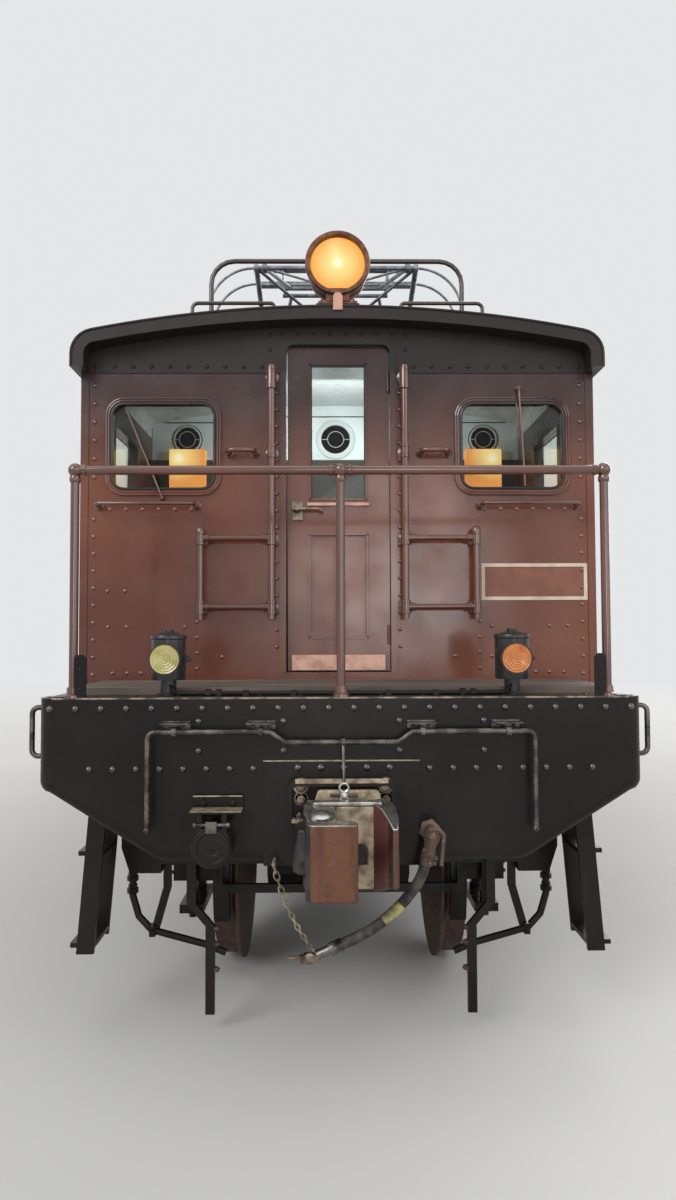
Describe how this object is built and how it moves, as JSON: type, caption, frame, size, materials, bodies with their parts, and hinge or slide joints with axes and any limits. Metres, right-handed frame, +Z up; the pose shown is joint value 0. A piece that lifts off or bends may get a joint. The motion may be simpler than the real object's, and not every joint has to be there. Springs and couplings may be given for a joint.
{
  "type": "electric locomotive",
  "caption": "Box-cab electric locomotive with railed end platforms, swivelling bogies, end doors and roof pantographs that fold.",
  "frame": {"origin": "midway between the bogie centres on the centre line, at the lowest point of the wheel flanges", "axes": "+Z up, X across the locomotive, Y along it; the front end, with the first driving cab, faces -Y"},
  "size_m": [2.72, 11.5, 4.1911],
  "materials": {
    "body_brown": "glossy",
    "roof_paint": "satin",
    "black_paint": "semi-gloss",
    "deck_board": "worn",
    "glass": "clear",
    "cab_paint": "satin",
    "pipe_brown": "worn",
    "lamp_black": "semi-gloss",
    "amber_lens": "ribbed",
    "cream_plate": "satin",
    "cast_steel": "worn",
    "rusty_steel": "rusted",
    "hose_rubber": "dusty",
    "worn_iron": "worn",
    "pantograph_grey": "satin",
    "wheel_steel": "rust brown",
    "walk_board": "weathered"
  },
  "bodies": {
    "body": {"underframe": "black_paint", "headstocks": "black_paint", "end_decks": "deck_board", "end_walls": "body_brown", "side_walls": "body_brown", "window_glass": "glass", "side_louvres": "body_brown", "roof": "roof_paint", "partitions": "cab_paint", "cab_desks": "cab_paint", "equipment_block": "cab_paint", "railings": "pipe_brown", "handrails": "pipe_brown", "side_steps": "black_paint", "marker_lamps": "lamp_black", "marker_lenses": "amber_lens", "headlights": "lamp_black", "headlight_lenses": "amber_lens", "number_plates": "cream_plate", "couplers": "cast_steel", "coupler_knuckles": "rusty_steel", "uncoupling_levers": "worn_iron", "brake_hoses": "hose_rubber", "hose_couplings": "worn_iron", "end_fittings": "black_paint", "roof_guards": "pipe_brown", "roof_walks": "walk_board", "roof_vents": "roof_paint", "pantograph_bases": "pantograph_grey", "air_reservoirs": "black_paint", "battery_boxes": "black_paint"},
    "door_front": {"door_front": "body_brown", "door_glass_front": "glass"},
    "bogie_front": {"bogie_frame_front": "black_paint", "bogie_running_gear_front": "black_paint", "bogie_brake_gear_front": "black_paint", "bogie_motors_front": "black_paint"},
    "pantograph_front_lower_front": {"pantograph_front_lower_front": "pantograph_grey"},
    "pantograph_front_lower_rear": {"pantograph_front_lower_rear": "pantograph_grey"},
    "pantograph_front_upper_front": {"pantograph_front_upper_front": "pantograph_grey"},
    "pantograph_front_upper_rear": {"pantograph_front_upper_rear": "pantograph_grey"},
    "pantograph_front_head": {"pantograph_front_head": "pantograph_grey"},
    "door_rear": {"door_rear": "body_brown", "door_glass_rear": "glass"},
    "bogie_rear": {"bogie_frame_rear": "black_paint", "bogie_running_gear_rear": "black_paint", "bogie_brake_gear_rear": "black_paint", "bogie_motors_rear": "black_paint"},
    "pantograph_rear_lower_front": {"pantograph_rear_lower_front": "pantograph_grey"},
    "pantograph_rear_lower_rear": {"pantograph_rear_lower_rear": "pantograph_grey"},
    "pantograph_rear_upper_front": {"pantograph_rear_upper_front": "pantograph_grey"},
    "pantograph_rear_upper_rear": {"pantograph_rear_upper_rear": "pantograph_grey"},
    "pantograph_rear_head": {"pantograph_rear_head": "pantograph_grey"},
    "wheelset_1": {"wheelset_1": "wheel_steel"},
    "wheelset_2": {"wheelset_2": "wheel_steel"},
    "wheelset_3": {"wheelset_3": "wheel_steel"},
    "wheelset_4": {"wheelset_4": "wheel_steel"}
  },
  "joints": [
    {"name": "door_front_hinge", "type": "hinge", "parent": "body", "child": "door_front", "pos_m": [0.27, -4.377, 2.327], "axis": [0, 0, -1], "range_deg": [0, 90]},
    {"name": "bogie_front_swivel", "type": "hinge", "parent": "body", "child": "bogie_front", "pos_m": [0, -2.859, 1.059], "axis": [0, 0, 1], "range_deg": [-3, 3]},
    {"name": "door_rear_hinge", "type": "hinge", "parent": "body", "child": "door_rear", "pos_m": [-0.27, 4.377, 2.327], "axis": [0, 0, -1], "range_deg": [0, 90]},
    {"name": "bogie_rear_swivel", "type": "hinge", "parent": "body", "child": "bogie_rear", "pos_m": [0, 2.859, 1.059], "axis": [0, 0, 1], "range_deg": [-3, 3]},
    {"name": "wheelset_1_roll", "type": "hinge", "parent": "bogie_front", "child": "wheelset_1", "pos_m": [0, -4.084, 0.562], "axis": [1, 0, 0], "continuous": true},
    {"name": "wheelset_2_roll", "type": "hinge", "parent": "bogie_front", "child": "wheelset_2", "pos_m": [0, -1.634, 0.562], "axis": [1, 0, 0], "continuous": true},
    {"name": "wheelset_3_roll", "type": "hinge", "parent": "bogie_rear", "child": "wheelset_3", "pos_m": [0, 1.634, 0.562], "axis": [1, 0, 0], "continuous": true},
    {"name": "wheelset_4_roll", "type": "hinge", "parent": "bogie_rear", "child": "wheelset_4", "pos_m": [0, 4.084, 0.562], "axis": [1, 0, 0], "continuous": true},
    {"name": "pantograph_front_raise", "type": "hinge", "parent": "body", "child": "pantograph_front_lower_front", "pos_m": [0, -3.235, 3.747], "axis": [-1, 0, 0], "range_deg": [0, 50]},
    {"name": "pantograph_front_lower_rear_pivot", "type": "hinge", "parent": "body", "child": "pantograph_front_lower_rear", "pos_m": [0, -3.035, 3.747], "axis": [1, 0, 0], "range_deg": [0, 51]},
    {"name": "pantograph_front_knee_front", "type": "hinge", "parent": "pantograph_front_lower_front", "child": "pantograph_front_upper_front", "pos_m": [0, -3.8754, 3.90667], "axis": [1, 0, 0], "range_deg": [0, 99]},
    {"name": "pantograph_front_knee_rear", "type": "hinge", "parent": "pantograph_front_lower_rear", "child": "pantograph_front_upper_rear", "pos_m": [0, -2.3946, 3.90667], "axis": [-1, 0, 0], "range_deg": [0, 99]},
    {"name": "pantograph_front_head_pivot", "type": "hinge", "parent": "pantograph_front_upper_front", "child": "pantograph_front_head", "pos_m": [0, -3.195, 4.07117], "axis": [-1, 0, 0], "range_deg": [0, 49]},
    {"name": "pantograph_rear_raise", "type": "hinge", "parent": "body", "child": "pantograph_rear_lower_front", "pos_m": [0, 3.235, 3.747], "axis": [1, 0, 0], "range_deg": [0, 50]},
    {"name": "pantograph_rear_lower_rear_pivot", "type": "hinge", "parent": "body", "child": "pantograph_rear_lower_rear", "pos_m": [0, 3.035, 3.747], "axis": [-1, 0, 0], "range_deg": [0, 51]},
    {"name": "pantograph_rear_knee_front", "type": "hinge", "parent": "pantograph_rear_lower_front", "child": "pantograph_rear_upper_front", "pos_m": [0, 3.8754, 3.90667], "axis": [-1, 0, 0], "range_deg": [0, 99]},
    {"name": "pantograph_rear_knee_rear", "type": "hinge", "parent": "pantograph_rear_lower_rear", "child": "pantograph_rear_upper_rear", "pos_m": [0, 2.3946, 3.90667], "axis": [1, 0, 0], "range_deg": [0, 99]},
    {"name": "pantograph_rear_head_pivot", "type": "hinge", "parent": "pantograph_rear_upper_front", "child": "pantograph_rear_head", "pos_m": [0, 3.195, 4.07117], "axis": [1, 0, 0], "range_deg": [0, 49]}
  ],
  "couplings": [
    {"joint": "pantograph_front_lower_rear_pivot", "follows": "pantograph_front_raise", "ratio": 1},
    {"joint": "pantograph_front_knee_front", "follows": "pantograph_front_raise", "ratio": 1.9666},
    {"joint": "pantograph_front_knee_rear", "follows": "pantograph_front_raise", "ratio": 1.9666},
    {"joint": "pantograph_front_head_pivot", "follows": "pantograph_front_raise", "ratio": 0.9666},
    {"joint": "pantograph_rear_lower_rear_pivot", "follows": "pantograph_rear_raise", "ratio": 1},
    {"joint": "pantograph_rear_knee_front", "follows": "pantograph_rear_raise", "ratio": 1.9666},
    {"joint": "pantograph_rear_knee_rear", "follows": "pantograph_rear_raise", "ratio": 1.9666},
    {"joint": "pantograph_rear_head_pivot", "follows": "pantograph_rear_raise", "ratio": 0.9666}
  ]
}
